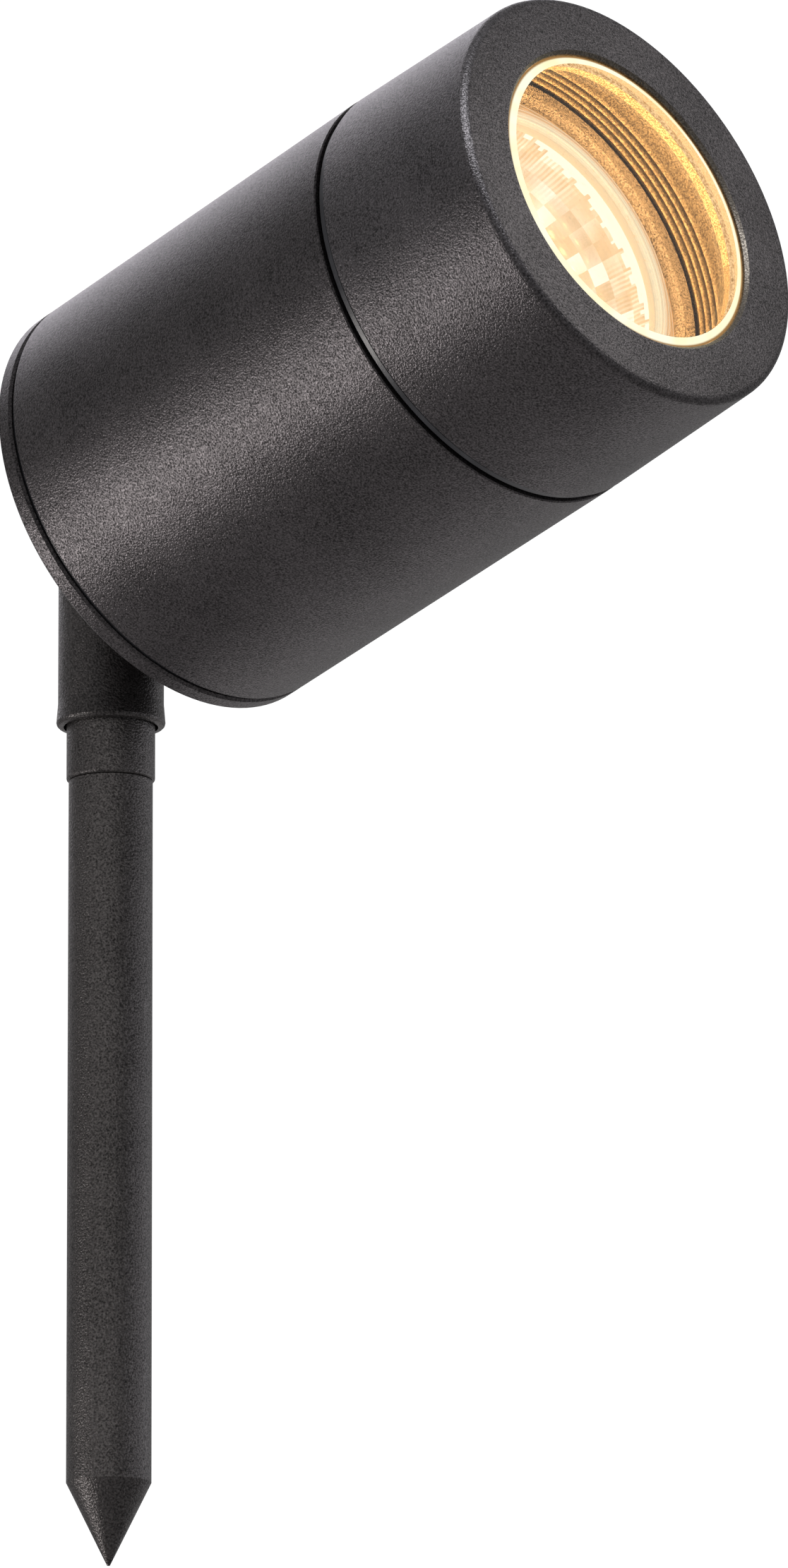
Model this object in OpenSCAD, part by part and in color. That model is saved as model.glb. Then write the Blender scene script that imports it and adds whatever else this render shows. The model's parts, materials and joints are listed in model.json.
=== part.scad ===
// Garden stake spotlight: a cast lamp head on a swivelling knuckle over a ground stake.
// Millimetres. Z runs up the stake, the head looks along -Y and tilts about an X axis.
// The origin is on the stake's axis, where the shank meets the neck.

/* [Pose] */
// Angle of the head's axis above the horizontal
head_tilt = 16.5; // [0:0.5:90]

/* [Head] */
// Diameter of the body and of the rear cap
body_d = 70; // [69:0.5:74]
// Rear face to front face
head_len = 103.4; // [102:0.2:110]
// Length of the screw-on front bezel
bezel_len = 30; // [28:0.5:31]
// Gap between the body's shoulder and the bezel
gap_w = 1.6; // [1.4:0.1:2]
// How much smaller the bezel's radius is at its front edge than at its rear edge
bezel_taper = 0.7; // [0:0.1:1]
// Rounding of the bezel's front edge
face_round = 1.2; // [0.4:0.1:1.5]
// Thickness of the rear cap's visible rim
cap_rim = 3; // [2.6:0.1:3.6]

/* [Light opening] */
// Diameter of the round opening in the bezel's face
opening_d = 49.4; // [49:0.1:50]
// Depth of the opening's plain wall, face to its rear edge
lip_depth = 6.7; // [6.2:0.1:8]
// How far the glass sits below the face
glass_drop = 0.45; // [0.2:0.05:0.8]
// Thickness of the front glass
glass_t = 4; // [3:0.1:4.2]
// Width of the bevel around the front glass
glass_bevel = 1.5; // [0.6:0.1:1.6]
// Radius of the thread crests inside the bezel
thread_r = 31; // [30.8:0.1:31.2]
// Distance from one thread crest to the next
thread_pitch = 1.27; // [1:0.01:1.5]
// Depth of the thread's first groove below the face
thread_start = 14.6; // [13:0.1:15]

/* [Lamp] */
// Diameter of the reflector lamp
lamp_d = 50; // [49.4:0.1:50]
// Depth of the lamp's front below the bezel's face
lamp_depth = 18.5; // [17.5:0.1:20]
// Distance between the lamp's two pins
pin_pitch = 10; // [9.8:0.1:10.2]

/* [Knuckle] */
// Pivot axis behind the rear face
pivot_back = 12.6; // [12.5:0.1:15]
// Pivot axis above the top of the shank
pivot_z = 38.3; // [36.5:0.1:42]
// Lower edge of the collar above the top of the shank
collar_z = 8.6; // [7:0.1:10]
// Diameter of the collar
collar_d = 16.5; // [16.4:0.1:17.4]
// Diameter of the neck that turns inside the collar
neck_d = 13.8; // [13.5:0.1:13.9]
// Thickness of the cap's lug
lug_t = 5.2; // [4.6:0.1:5.4]
// Diameter of the pivot bolt
pivot_d = 5; // [4:0.5:5]

/* [Stake] */
// Diameter of the ground stake
shank_d = 13.1; // [12.6:0.1:13.4]
// Length of the parallel part of the stake
shank_len = 110.2; // [90:0.2:200]
// Length of the turned point
point_len = 12.8; // [10:0.2:20]

/* [Hidden] */
$fn = 96;
eps = 0.01;
big = 200;

// Head, measured from its rear face
body_r = body_d / 2;
cap_seal_t = 0.5;
seal_r = body_r - 0.7;
body_z = cap_rim + cap_seal_t;
body_in = body_r - 3;
bezel_z = head_len - bezel_len;
shoulder_z = bezel_z - gap_w;
spigot_r = thread_r - 0.1;
spigot_in = 28.2;
seat_r = 27;
lamp_z = head_len - lamp_depth;
spigot_z = lamp_z - 0.4;
seat_z = spigot_z - 3.5;
throat_z = seat_z - 5;
throat_cone = 8;
edge = 0.4;
bezel_inset = 0.05;
bore_edge = 0.5;
seal_lip = 0.5;
lip_edge = 0.3;
thread_relief = 1;
thread_lead_in = 0.6;
glass_fit = 0.1;
bevel_drop = 0.45;
glass_seal_t = 0.4;
glass_seal_w = 0.8;
glass_seal_z = head_len - glass_drop - glass_t - glass_seal_t;
gasket_foot = 1.6;
gasket_r = body_r - 0.45;
gasket_edge = 0.2;
gasket_share = 0.75;
shoulder_edge = 0.2;

// Clearances and screws used in several places
fit = 0.05;
thread_fit = 0.03;
washer_fit = 0.1;
wall_overlap = 1;
m3_r = 1.5;
slot_head_r = 2.6;
slot_head_h = 1.8;
small_head_h = 1.2;

// Rear cap and its screws
cap_edge = 0.5;
cap_spigot_r = body_in - 0.15;
cap_spigot_t = 2;
cap_in = cap_rim + cap_spigot_t;
cap_screw_pcd_r = 27.6;
cap_screw_angles = [90, 210, 330];
cap_screw_hole_r = 1.7;
cap_screw_len = 10;
cap_screw_head_r = 2.8;
cap_screw_head_h = 2.3;
cap_sink_r = 3.1;
cap_sink = 2.5;
cap_boss_r = 3.6;
cap_boss_len = 11;
cap_boss_gap = 0.1;
blind_end = 2;
lug_r = 6.5;
lug_base = [16, 15, 2];

// Bezel thread
groove_depth = 0.7;
groove_crest = 0.35;
thread_z = head_len - thread_start;
thread_count = floor((thread_z - bezel_z - 1) / thread_pitch);

// Lamp, holder and bracket
lamp_r = lamp_d / 2;
lamp_rim_h = 3;
lamp_wall = 1.5;
cover_r = lamp_r - 1.7;
cover_t = 1.6;
cover_seat = 1.2;
rim_edge = 0.3;
bowl_neck_r = 9.5;
bowl_neck_z = 50;
bowl_steps = 14;
bowl_curve = 0.55;
bowl_step = 0.8;
bowl_rim_wall = 0.4;
support_gap = 0.25;
support_t = 1.4;
base_r = 10.6;
base_z = 38;
base_cup = 2;
base_well = 5;
stem_r = 3.9;
bulb_r = 5;
bulb_wall = 1;
holder_r = 14;
holder_gap = 0.2;
bracket_t = 1.2;
bracket_z = 27.2;
bracket_bore = 7.4;
bracket_arm_r = 5;
bracket_hole_r = 1.6;
bracket_screw_len = 8;
post_x = 26;
post_r = 3.6;
post_len = 11;
holder_screw_x = 10.6;
holder_screw_len = 6.5;
holder_hole = 6;
pin_shank_r = 1.5;
pin_head_r = 2.5;
pin_head_h = 1.8;
pin_len = 7;
slot_clear = 0.35;
slot_relief = 0.1;
slot_face = 3.6;
slot_deep = 7.4;
slot_entry = 1;
twist_angle = 30;

// Terminal block, earth point and leads
block = [24, 13, 14];
block_y = -16;
block_hole_r = 1.2;
block_head_r = 1.9;
block_grip = 2.5;
tap_depth = 3;
pole_pitch = 8;
clamp_z = cap_in + 7;
clamp_r = 2.4;
clamp_hole_r = 1.6;
clamp_screw_y = 3.5;
clamp_screw_z = 4.2;
clamp_screw_len = 3;
clamp_screw_r = 1.25;
clamp_head_r = 1.7;
clamp_access_r = 1.8;
lead_r = 1;
lead_clear = 0.6;
lead_y = -3;
lead_bend = 4;
lead_fit = 0.1;
lead_socket = 2;
lead_in_holder = 1.5;
lead_in_clamp = 6;
earth_at = [-17, 13];
earth_r = 2;
earth_screw_len = 3.6;
earth_head_r = 3.4;
earth_head_h = 2.2;
tag_r = 3.8;
tag_t = 0.8;
tag_tail = [9, 3];

// Cable gland
gland_at = [16.1, 13.5];
gland_af = 15;
gland_bore = 3.4;
gland_thread_r = 6;
gland_flange = 3.5;
gland_neck_r = 5.7;
gland_neck_len = 6;
gland_nut_len = 10;
gland_seal_r = 4.6;
gland_seat = 1;
gland_tail = 4.5;
gland_nut_gap = 0.4;
gland_nut_end = 0.1;
gland_dome = [1, 3, 4.5];
locknut_h = 3;

// Knuckle
collar_r = collar_d / 2;
neck_r = neck_d / 2;
neck_fit = 0.08;
neck_gap = 0.15;
neck_round = 0.4;
neck_chamfer = 0.5;
neck_tap = 14;
collar_flare = 0.25;
flare_h = 3;
foot_round = 0.7;
mouth = [0.4, 1.6];
web_z = 19;
web_t = 3.5;
swivel_r = 3;
swivel_len = 16;
swivel_head_r = 5;
swivel_head_h = 3.2;
swivel_washer_r = 5.5;
swivel_washer_t = 1.1;
swivel_well_r = 5.8;
fork_gap = lug_t + 0.4;
fork_depth = 7.8;
back_web_y = 6.9;
back_web_top = 4;
face_x = 7;
pivot_r = pivot_d / 2;
pivot_tail = 5;
pivot_head_h = 2.8;
pivot_nut_af = 8;
pivot_nut_h = 4;
washer_t = 0.8;
washer_r = 4.6;
washer_seat = 0.4;

// Stake
shank_r = shank_d / 2;
shank_edge = 0.15;
tip_r = 0.45;
stud_r = 4;
stud_len = 14;
stud_hole_end = 1;

// ---------- shared shapes ----------

// Puts a head part, drawn from the rear face forwards along Z, in its place
module in_head() {
    translate([0, 0, pivot_z])
        rotate([90 - head_tilt, 0, 0])
            translate([0, 0, pivot_back])
                children();
}

// Ring between two radii
module ring(outer, inner, h) {
    rotate_extrude()
        translate([inner, 0])
            square([outer - inner, h]);
}

// Hexagonal prism by its width across the flats
module hex_prism(af, h) {
    cylinder(r = af / 2 / cos(30), h = h, $fn = 6);
}

// Lays a shape that is drawn along Z onto the X axis
module along_x() {
    rotate([0, 90, 0])
        children();
}

// Corner points of a rounded lower edge
function rounded(r, z, radius) = [
    for (a = [0 : 30 : 90]) [r - radius * (1 - sin(a)), z + radius * (1 - cos(a))]
];

// Cap-head screw with a hexagon socket; the head's underside is at z = 0, the shank below
module cap_screw(shank_r, len, head_r, head_h) {
    translate([0, 0, -len])
        cylinder(r = shank_r, h = len + eps, $fn = 48);
    difference() {
        rotate_extrude($fn = 48)
            polygon([[0, 0], [head_r, 0], [head_r, head_h - edge], [head_r - edge, head_h], [0, head_h]]);
        translate([0, 0, head_h / 2])
            hex_prism(head_r, head_h);
    }
}

// Slotted cheese-head screw, same placing as cap_screw
module slot_screw(shank_r, len, head_r, head_h) {
    difference() {
        union() {
            translate([0, 0, -len])
                cylinder(r = shank_r, h = len + eps, $fn = 32);
            cylinder(r = head_r, h = head_h, $fn = 32);
        }
        translate([-head_r, -head_h / 4, head_h / 2])
            cube([2 * head_r, head_h / 2, head_h]);
    }
}

// ---------- head ----------

module body_outline() {
    polygon([
        [body_in, body_z],
        [body_r - edge, body_z],
        [body_r, body_z + edge],
        [body_r, shoulder_z - shoulder_edge],
        [body_r - shoulder_edge, shoulder_z],
        [spigot_r, shoulder_z],
        [spigot_r, spigot_z - edge],
        [spigot_r - edge, spigot_z],
        [spigot_in, spigot_z],
        [spigot_in, seat_z],
        [seat_r, seat_z],
        [seat_r, throat_z],
        [body_in, throat_z - throat_cone]
    ]);
}

// Boss on the wall for one cap screw, with its web
module cap_boss() {
    translate([cap_screw_pcd_r, 0, cap_in + cap_boss_gap]) {
        cylinder(r = cap_boss_r, h = cap_boss_len);
        translate([0, -cap_boss_r / 2, 0])
            cube([body_in + wall_overlap - cap_screw_pcd_r, cap_boss_r, cap_boss_len]);
    }
}

// Post on the wall for one end of the bracket, drilled from the rear
module bracket_post() {
    difference() {
        union() {
            translate([post_x, 0, bracket_z])
                cylinder(r = post_r, h = post_len);
            translate([post_x, -post_r / 2, bracket_z])
                cube([body_in + wall_overlap - post_x, post_r, post_len]);
        }
        translate([post_x, 0, bracket_z - eps])
            cylinder(r = m3_r, h = post_len - blind_end, $fn = 32);
    }
}

module body_housing() {
    color("#2e2d2e")
        in_head() {
            difference() {
                union() {
                    rotate_extrude($fn = 160)
                        body_outline();
                    for (a = cap_screw_angles)
                        rotate([0, 0, a])
                            cap_boss();
                }
                for (a = cap_screw_angles)
                    rotate([0, 0, a])
                        translate([cap_screw_pcd_r, 0, cap_in])
                            cylinder(r = m3_r, h = cap_boss_len - blind_end, $fn = 32);
            }
            for (a = [0, 180])
                rotate([0, 0, a])
                    bracket_post();
        }
}

// Radius and height of the corners of one thread groove, front corner first
function groove_points(i) =
    let (z = thread_z - i * thread_pitch, half = (thread_pitch - groove_crest) / 2)
    [[thread_r, z], [thread_r + groove_depth, z - half], [thread_r, z - 2 * half]];

module bezel_outline() {
    rear_r = body_r - bezel_inset;
    front_r = rear_r - bezel_taper;
    bore_r = opening_d / 2;
    inner = [for (i = [0 : thread_count - 1]) each groove_points(i)];
    polygon(concat(
        [
            [rear_r - shoulder_edge, bezel_z],
            [rear_r, bezel_z + shoulder_edge],
            [front_r, head_len - face_round]
        ],
        [for (a = [15 : 15 : 75]) [
            front_r - face_round * (1 - cos(a)),
            head_len - face_round * (1 - sin(a))
        ]],
        [
            [front_r - face_round, head_len],
            [bore_r + bore_edge, head_len],
            [bore_r, head_len - bore_edge],
            [bore_r, glass_seal_z],
            [bore_r - seal_lip, glass_seal_z],
            [bore_r - seal_lip, head_len - lip_depth + lip_edge],
            [bore_r - seal_lip + lip_edge, head_len - lip_depth],
            [thread_r - thread_relief, head_len - lip_depth],
            [thread_r, head_len - lip_depth - thread_relief]
        ],
        inner,
        [[thread_r, bezel_z + thread_lead_in], [thread_r + thread_lead_in, bezel_z]]
    ));
}

module front_bezel() {
    color("#2e2d2e")
        in_head()
            rotate_extrude($fn = 160)
                bezel_outline();
}

module front_glass() {
    front = head_len - glass_drop;
    rim_r = opening_d / 2 - glass_fit;
    color("#e9f0ee", 0.4)
        in_head()
            rotate_extrude($fn = 128)
                polygon([
                    [0, front - glass_t],
                    [rim_r, front - glass_t],
                    [rim_r, front - bevel_drop],
                    [rim_r - glass_bevel, front],
                    [0, front]
                ]);
}

module glass_seal() {
    color("#e6e2d6")
        in_head()
            translate([0, 0, glass_seal_z])
                ring(opening_d / 2 - fit, opening_d / 2 - glass_seal_w, glass_seal_t);
}

// L-shaped seal: its foot fills the gap, its lip backs the bezel and leaves a groove behind
module bezel_gasket() {
    foot_r = spigot_r + gasket_foot;
    lip_z = bezel_z - gap_w * gasket_share;
    top_z = bezel_z - fit;
    color("#23262b")
        in_head()
            rotate_extrude($fn = 128)
                polygon([
                    [spigot_r, shoulder_z],
                    [foot_r, shoulder_z],
                    [foot_r, lip_z],
                    [gasket_r - gasket_edge, lip_z],
                    [gasket_r, lip_z + gasket_edge],
                    [gasket_r, top_z - gasket_edge],
                    [gasket_r - gasket_edge, top_z],
                    [spigot_r, top_z]
                ]);
}

// Ear behind the rear face that the pivot bolt goes through
module cap_lug() {
    difference() {
        union() {
            translate([-lug_t / 2, -lug_r, -pivot_back])
                cube([lug_t, 2 * lug_r, pivot_back + eps]);
            translate([-lug_t / 2, 0, -pivot_back])
                along_x()
                    cylinder(r = lug_r, h = lug_t);
            translate([-lug_base.x / 2, -lug_base.y / 2, -lug_base.z])
                cube([lug_base.x, lug_base.y, lug_base.z + eps]);
        }
        translate([-lug_t, 0, -pivot_back])
            along_x()
                cylinder(r = pivot_r + fit, h = 2 * lug_t);
    }
}

module rear_cap() {
    color("#2e2d2e")
        in_head()
            difference() {
                union() {
                    rotate_extrude($fn = 160)
                        polygon([
                            [0, 0],
                            [body_r - cap_edge, 0],
                            [body_r, cap_edge],
                            [body_r, cap_rim - edge],
                            [body_r - edge, cap_rim],
                            [cap_spigot_r, cap_rim],
                            [cap_spigot_r, cap_in],
                            [0, cap_in]
                        ]);
                    cap_lug();
                }
                for (a = cap_screw_angles)
                    rotate([0, 0, a])
                        translate([cap_screw_pcd_r, 0, -eps]) {
                            cylinder(r = cap_screw_hole_r, h = big, $fn = 32);
                            cylinder(r = cap_sink_r, h = cap_sink, $fn = 48);
                        }
                translate([gland_at.x, gland_at.y, -eps])
                    cylinder(r = gland_thread_r + fit, h = big);
                translate([earth_at.x, earth_at.y, cap_in - tap_depth])
                    cylinder(r = earth_r, h = big, $fn = 32);
                at_block_screws()
                    translate([0, 0, -tap_depth])
                        cylinder(r = block_hole_r, h = big, $fn = 32);
            }
}

module rear_cap_gasket() {
    color("#1c1c1d")
        in_head()
            translate([0, 0, cap_rim])
                ring(seal_r, cap_spigot_r, cap_seal_t);
}

module rear_cap_screws() {
    color("#3a3a3c")
        in_head()
            for (a = cap_screw_angles)
                rotate([0, 0, a])
                    translate([cap_screw_pcd_r, 0, cap_sink - eps])
                        mirror([0, 0, 1])
                            cap_screw(m3_r, cap_screw_len, cap_screw_head_r, cap_screw_head_h);
}

// ---------- lamp ----------

module lamp_support_ring() {
    color("#c9b48c")
        in_head()
            translate([0, 0, seat_z])
                ring(spigot_in - fit, lamp_r + support_gap, support_t);
}

// Radius of the bowl's outer face at a height from 0 at the neck to 1 at the rim
function bowl_r(t) = bowl_neck_r + (lamp_r - bowl_step - bowl_neck_r) * pow(t, bowl_curve);

module lamp_reflector() {
    rim_z = lamp_z - lamp_rim_h;
    height = rim_z - bowl_neck_z;
    outer = [for (i = [0 : bowl_steps]) let (t = i / bowl_steps) [bowl_r(t), bowl_neck_z + height * t]];
    inner = [for (i = [bowl_steps : -1 : 0]) let (t = i / bowl_steps)
        [bowl_r(t) - lamp_wall - bowl_rim_wall * t, bowl_neck_z + lamp_wall + (height - lamp_wall) * t]];
    color("#e8c58e")
        in_head()
            rotate_extrude($fn = 128)
                polygon(concat(
                    [[stem_r + fit, bowl_neck_z]],
                    outer,
                    [
                        [lamp_r, rim_z + edge],
                        [lamp_r, lamp_z - rim_edge],
                        [lamp_r - rim_edge, lamp_z],
                        [cover_r + fit, lamp_z],
                        [cover_r + fit, lamp_z - cover_t],
                        [cover_r - cover_seat, lamp_z - cover_t]
                    ],
                    inner,
                    [[stem_r + fit, bowl_neck_z + lamp_wall]]
                ));
}

module lamp_cover_glass() {
    color("#fff4da", 0.5)
        in_head()
            translate([0, 0, lamp_z - cover_t])
                rotate_extrude($fn = 96)
                    polygon([
                        [0, 0],
                        [cover_r, 0],
                        [cover_r, cover_t - rim_edge],
                        [cover_r - rim_edge, cover_t],
                        [0, cover_t]
                    ]);
}

module lamp_base() {
    color("#e4e0d6")
        in_head()
            difference() {
                translate([0, 0, base_z])
                    cylinder(r = base_r, h = bowl_neck_z + base_cup - base_z);
                translate([0, 0, bowl_neck_z])
                    cylinder(r = bowl_r(base_cup / (lamp_z - lamp_rim_h - bowl_neck_z)) + fit, h = big);
                translate([0, 0, bowl_neck_z - base_well])
                    cylinder(r = stem_r + fit, h = big);
            }
}

module lamp_pins() {
    color("#b9bbbd")
        in_head()
            for (side = [-1, 1])
                translate([side * pin_pitch / 2, 0, base_z - pin_len]) {
                    cylinder(r = pin_head_r, h = pin_head_h, $fn = 48);
                    cylinder(r = pin_shank_r, h = pin_len, $fn = 48);
                }
}

module lamp_capsule() {
    foot = bowl_neck_z - 4.5;
    shoulder = bowl_neck_z + 5;
    top = bowl_neck_z + 14;
    color("#f4f4f0", 0.5)
        in_head()
            difference() {
                union() {
                    translate([0, 0, foot])
                        cylinder(r = stem_r, h = shoulder - foot, $fn = 64);
                    translate([0, 0, shoulder - eps])
                        cylinder(r = bulb_r, h = top - shoulder, $fn = 64);
                    translate([0, 0, top - 2 * eps])
                        sphere(r = bulb_r, $fn = 64);
                }
                translate([0, 0, shoulder + bulb_wall])
                    cylinder(r = bulb_r - bulb_wall, h = top - shoulder - bulb_wall, $fn = 64);
                translate([0, 0, top - eps])
                    sphere(r = bulb_r - bulb_wall, $fn = 64);
            }
}

// Filament coil with its two support wires, drawn as one small solid
module lamp_filament() {
    foot = bowl_neck_z + 6;
    wire_x = 2;
    wire_r = 0.3;
    wire_len = 8;
    coil_r = 0.8;
    coil_len = 2 * (wire_x + wire_r);
    color("#ffd27a")
        in_head()
            translate([0, 0, foot]) {
                for (side = [-1, 1])
                    translate([side * wire_x, 0, 0])
                        cylinder(r = wire_r, h = wire_len, $fn = 24);
                translate([-coil_len / 2, 0, wire_len])
                    along_x()
                        cylinder(r = coil_r, h = coil_len, $fn = 32);
            }
}

// Curved keyhole that a lamp pin turns in
module pin_slot(half_w, z0, h) {
    r = pin_pitch / 2;
    rotate_extrude(angle = twist_angle)
        translate([r - half_w + slot_relief, z0])
            square([2 * (half_w - slot_relief), h]);
    for (a = [0, twist_angle])
        rotate([0, 0, a])
            translate([r, 0, z0])
                cylinder(r = half_w, h = h, $fn = 48);
}

module lamp_holder() {
    top = base_z - holder_gap;
    color("#ece9e0")
        in_head()
            difference() {
                translate([0, 0, bracket_z])
                    cylinder(r = holder_r, h = top - bracket_z);
                for (turn = [0, 180])
                    rotate([0, 0, turn]) {
                        pin_slot(pin_shank_r + slot_clear, top - slot_face - eps, slot_face + 2 * eps);
                        pin_slot(pin_head_r + slot_clear, top - slot_deep, slot_deep - slot_face);
                        rotate([0, 0, twist_angle])
                            translate([pin_pitch / 2, 0, top - slot_face - slot_entry])
                                cylinder(r = pin_head_r + slot_clear + slot_relief, h = big, $fn = 48);
                    }
                for (side = [-1, 1]) {
                    translate([side * holder_screw_x, 0, bracket_z - eps])
                        cylinder(r = m3_r, h = holder_hole, $fn = 32);
                    translate([side * pole_pitch, lead_y, bracket_z - eps])
                        cylinder(r = lead_r + lead_fit, h = lead_socket, $fn = 32);
                }
            }
}

module holder_bracket() {
    color("#b4b6b8")
        in_head()
            translate([0, 0, bracket_z - bracket_t])
                difference() {
                    union() {
                        translate([-post_x, -bracket_arm_r, 0])
                            cube([2 * post_x, 2 * bracket_arm_r, bracket_t]);
                        cylinder(r = holder_r - cap_edge, h = bracket_t);
                        for (side = [-1, 1])
                            translate([side * post_x, 0, 0])
                                cylinder(r = bracket_arm_r, h = bracket_t, $fn = 64);
                    }
                    translate([0, 0, -eps])
                        cylinder(r = bracket_bore, h = 2 * bracket_t);
                    for (side = [-1, 1], x = [post_x, holder_screw_x])
                        translate([side * x, 0, -eps])
                            cylinder(r = bracket_hole_r, h = 2 * bracket_t, $fn = 32);
                    for (side = [-1, 1])
                        translate([side * pole_pitch, lead_y, -eps])
                            cylinder(r = lead_r + lead_clear, h = 2 * bracket_t, $fn = 32);
                }
}

module holder_screws() {
    color("#a9abad")
        in_head()
            for (side = [-1, 1])
                translate([side * holder_screw_x, 0, bracket_z - bracket_t])
                    mirror([0, 0, 1])
                        slot_screw(m3_r, holder_screw_len, slot_head_r, slot_head_h);
}

module bracket_screws() {
    color("#a9abad")
        in_head()
            for (side = [-1, 1])
                translate([side * post_x, 0, bracket_z - bracket_t])
                    mirror([0, 0, 1])
                        slot_screw(m3_r, bracket_screw_len, slot_head_r, slot_head_h);
}

// ---------- wiring inside the head ----------

// Lead that leaves the holder backwards and bends down into the block
module lamp_lead(x) {
    translate([x, lead_y, clamp_z + lead_bend])
        cylinder(r = lead_r, h = bracket_z + lead_in_holder - clamp_z - lead_bend, $fn = 32);
    translate([x, lead_y - lead_bend, clamp_z + lead_bend])
        rotate([0, 90, 0])
            rotate_extrude(angle = 90, $fn = 64)
                translate([lead_bend, 0])
                    circle(r = lead_r, $fn = 32);
    translate([x, lead_y - lead_bend + eps, clamp_z])
        rotate([90, 0, 0])
            cylinder(r = lead_r, h = lead_in_clamp, $fn = 32);
}

module lamp_leads() {
    color("#d8d3c4")
        in_head()
            for (side = [-1, 1])
                lamp_lead(side * pole_pitch);
}

// Places children at each pole of the block, on the block's middle line
module at_poles() {
    for (i = [-1 : 1])
        translate([i * pole_pitch, block_y, clamp_z])
            children();
}

// Places children at the two screws that hold the block, on the cap's inner face
module at_block_screws() {
    for (side = [-1, 1])
        translate([side * pole_pitch / 2, block_y, cap_in])
            children();
}

module terminal_block() {
    color("#d9d6cc")
        in_head()
            difference() {
                translate([-block.x / 2, block_y - block.y / 2, cap_in])
                    cube(block);
                at_poles() {
                    rotate([90, 0, 0])
                        cylinder(r = clamp_r + fit, h = block.y + 1, center = true, $fn = 48);
                    for (y = [-clamp_screw_y, clamp_screw_y])
                        translate([0, y, 0])
                            cylinder(r = clamp_access_r, h = big, $fn = 32);
                }
                at_block_screws()
                    translate([0, 0, -eps])
                        cylinder(r = block_hole_r, h = big, $fn = 32);
            }
}

module terminal_clamps() {
    color("#c8a24a")
        in_head()
            at_poles()
                difference() {
                    rotate([90, 0, 0])
                        cylinder(r = clamp_r, h = block.y - 1, center = true, $fn = 48);
                    rotate([90, 0, 0])
                        cylinder(r = clamp_hole_r, h = block.y, center = true, $fn = 48);
                    for (y = [-clamp_screw_y, clamp_screw_y])
                        translate([0, y, 0])
                            cylinder(r = clamp_screw_r + fit, h = big, $fn = 32);
                }
}

module terminal_screws() {
    color("#c8a24a")
        in_head()
            at_poles()
                for (y = [-clamp_screw_y, clamp_screw_y])
                    translate([0, y, clamp_screw_z])
                        slot_screw(clamp_screw_r, clamp_screw_len, clamp_head_r, small_head_h);
}

module block_screws() {
    color("#a9abad")
        in_head()
            at_block_screws()
                translate([0, 0, block.z])
                    slot_screw(block_hole_r - fit, block.z + block_grip, block_head_r, small_head_h);
}

module earth_tag() {
    color("#d3cfb9")
        in_head()
            translate([earth_at.x, earth_at.y, cap_in])
                difference() {
                    union() {
                        cylinder(r = tag_r, h = tag_t, $fn = 48);
                        translate([0, -tag_tail.y / 2, 0])
                            cube([tag_tail.x, tag_tail.y, tag_t]);
                    }
                    translate([0, 0, -eps])
                        cylinder(r = earth_r + fit, h = 2 * tag_t, $fn = 48);
                }
}

module earth_screw() {
    color("#a9abad")
        in_head()
            translate([earth_at.x, earth_at.y, cap_in + tag_t])
                slot_screw(earth_r - fit, earth_screw_len, earth_head_r, earth_head_h);
}

// ---------- cable gland on the rear face ----------

module at_gland() {
    in_head()
        translate([gland_at.x, gland_at.y, 0])
            children();
}

module gland_body() {
    neck_end = gland_flange + gland_neck_len;
    color("#1d1d1f")
        at_gland()
            difference() {
                union() {
                    translate([0, 0, -gland_flange])
                        hex_prism(gland_af, gland_flange);
                    translate([0, 0, -eps])
                        cylinder(r = gland_thread_r, h = cap_in + gland_tail);
                    translate([0, 0, -neck_end])
                        cylinder(r = gland_neck_r, h = gland_neck_len + eps);
                }
                translate([0, 0, -neck_end - eps])
                    cylinder(r = gland_seal_r + fit, h = gland_neck_len + gland_seat);
                translate([0, 0, -big / 2])
                    cylinder(r = gland_bore, h = big);
            }
}

module gland_seal() {
    color("#151515")
        at_gland()
            translate([0, 0, -gland_flange - gland_neck_len])
                ring(gland_seal_r, gland_bore, gland_neck_len + gland_seat - 2 * eps);
}

module gland_nut() {
    rear = gland_flange + gland_nut_len;
    hex_r = gland_af / 2 / cos(30);
    color("#1d1d1f")
        at_gland()
            difference() {
                intersection() {
                    translate([0, 0, -rear])
                        hex_prism(gland_af, gland_nut_len - gland_nut_gap);
                    rotate_extrude()
                        polygon([
                            [0, -rear],
                            [gland_neck_r, -rear],
                            [hex_r - gland_dome[0], -rear + gland_dome[1]],
                            [hex_r, -rear + gland_dome[2]],
                            [hex_r, 0],
                            [0, 0]
                        ]);
                }
                translate([0, 0, -gland_flange - gland_neck_len - gland_nut_end])
                    cylinder(r = gland_neck_r + fit, h = big);
                translate([0, 0, -big / 2])
                    cylinder(r = gland_bore, h = big);
            }
}

module gland_locknut() {
    color("#1d1d1f")
        at_gland()
            translate([0, 0, cap_in])
                difference() {
                    hex_prism(gland_af, locknut_h);
                    translate([0, 0, -eps])
                        cylinder(r = gland_thread_r + fit, h = 2 * locknut_h);
                }
}

// ---------- knuckle ----------

module collar_blank() {
    top = pivot_z + collar_r;
    foot_r = collar_r + collar_flare;
    intersection() {
        rotate_extrude($fn = 128)
            polygon(concat(
                [[0, collar_z]],
                rounded(foot_r, collar_z, foot_round),
                [[collar_r, collar_z + foot_round + flare_h], [collar_r, top], [0, top]]
            ));
        union() {
            translate([-collar_d, -collar_d, 0])
                cube([2 * collar_d, 2 * collar_d, pivot_z]);
            translate([-collar_d, 0, pivot_z])
                along_x()
                    cylinder(r = collar_r, h = 2 * collar_d, $fn = 128);
        }
    }
}

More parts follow.
